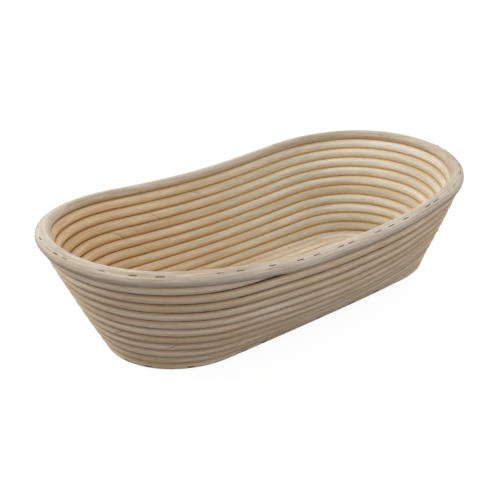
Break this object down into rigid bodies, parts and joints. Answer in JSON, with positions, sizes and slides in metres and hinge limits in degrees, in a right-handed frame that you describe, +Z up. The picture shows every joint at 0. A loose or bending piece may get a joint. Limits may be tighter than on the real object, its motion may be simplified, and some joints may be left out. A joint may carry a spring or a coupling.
{
  "type": "oval banneton basket",
  "caption": "Oval bread-proofing basket wound from round rattan cane in a climbing spiral, with a flat spiral floor, flared walls higher at the ends, and a thicker stapled rim.",
  "frame": {"origin": "on the table plane, under the middle of the straight core cane of the floor", "axes": "+X along the length, +Y across the width, +Z up out of the open top"},
  "size_m": [0.3397, 0.2062, 0.0925],
  "materials": {
    "floor_core": "matt",
    "floor_cane_1": "matt",
    "floor_cane_2": "matt",
    "floor_cane_3": "matt",
    "wall_cane_01": "matt",
    "wall_cane_02": "matt",
    "wall_cane_03": "matt",
    "wall_cane_04": "matt",
    "wall_cane_05": "matt",
    "wall_cane_06": "matt",
    "wall_cane_07": "matt",
    "wall_cane_08": "matt",
    "wall_cane_09": "matt",
    "wall_cane_10": "matt",
    "rim_cane": "matt",
    "floor_staples": "dull",
    "wall_staples": "dull",
    "rim_staples": "dull"
  },
  "bodies": {
    "root": {"floor_core": "floor_core", "floor_cane_1": "floor_cane_1", "floor_cane_2": "floor_cane_2", "floor_cane_3": "floor_cane_3", "wall_cane_01": "wall_cane_01", "wall_cane_02": "wall_cane_02", "wall_cane_03": "wall_cane_03", "wall_cane_04": "wall_cane_04", "wall_cane_05": "wall_cane_05", "wall_cane_06": "wall_cane_06", "wall_cane_07": "wall_cane_07", "wall_cane_08": "wall_cane_08", "wall_cane_09": "wall_cane_09", "wall_cane_10": "wall_cane_10", "rim_cane": "rim_cane", "floor_staples": "floor_staples", "wall_staples": "wall_staples", "rim_staples": "rim_staples"}
  },
  "joints": []
}
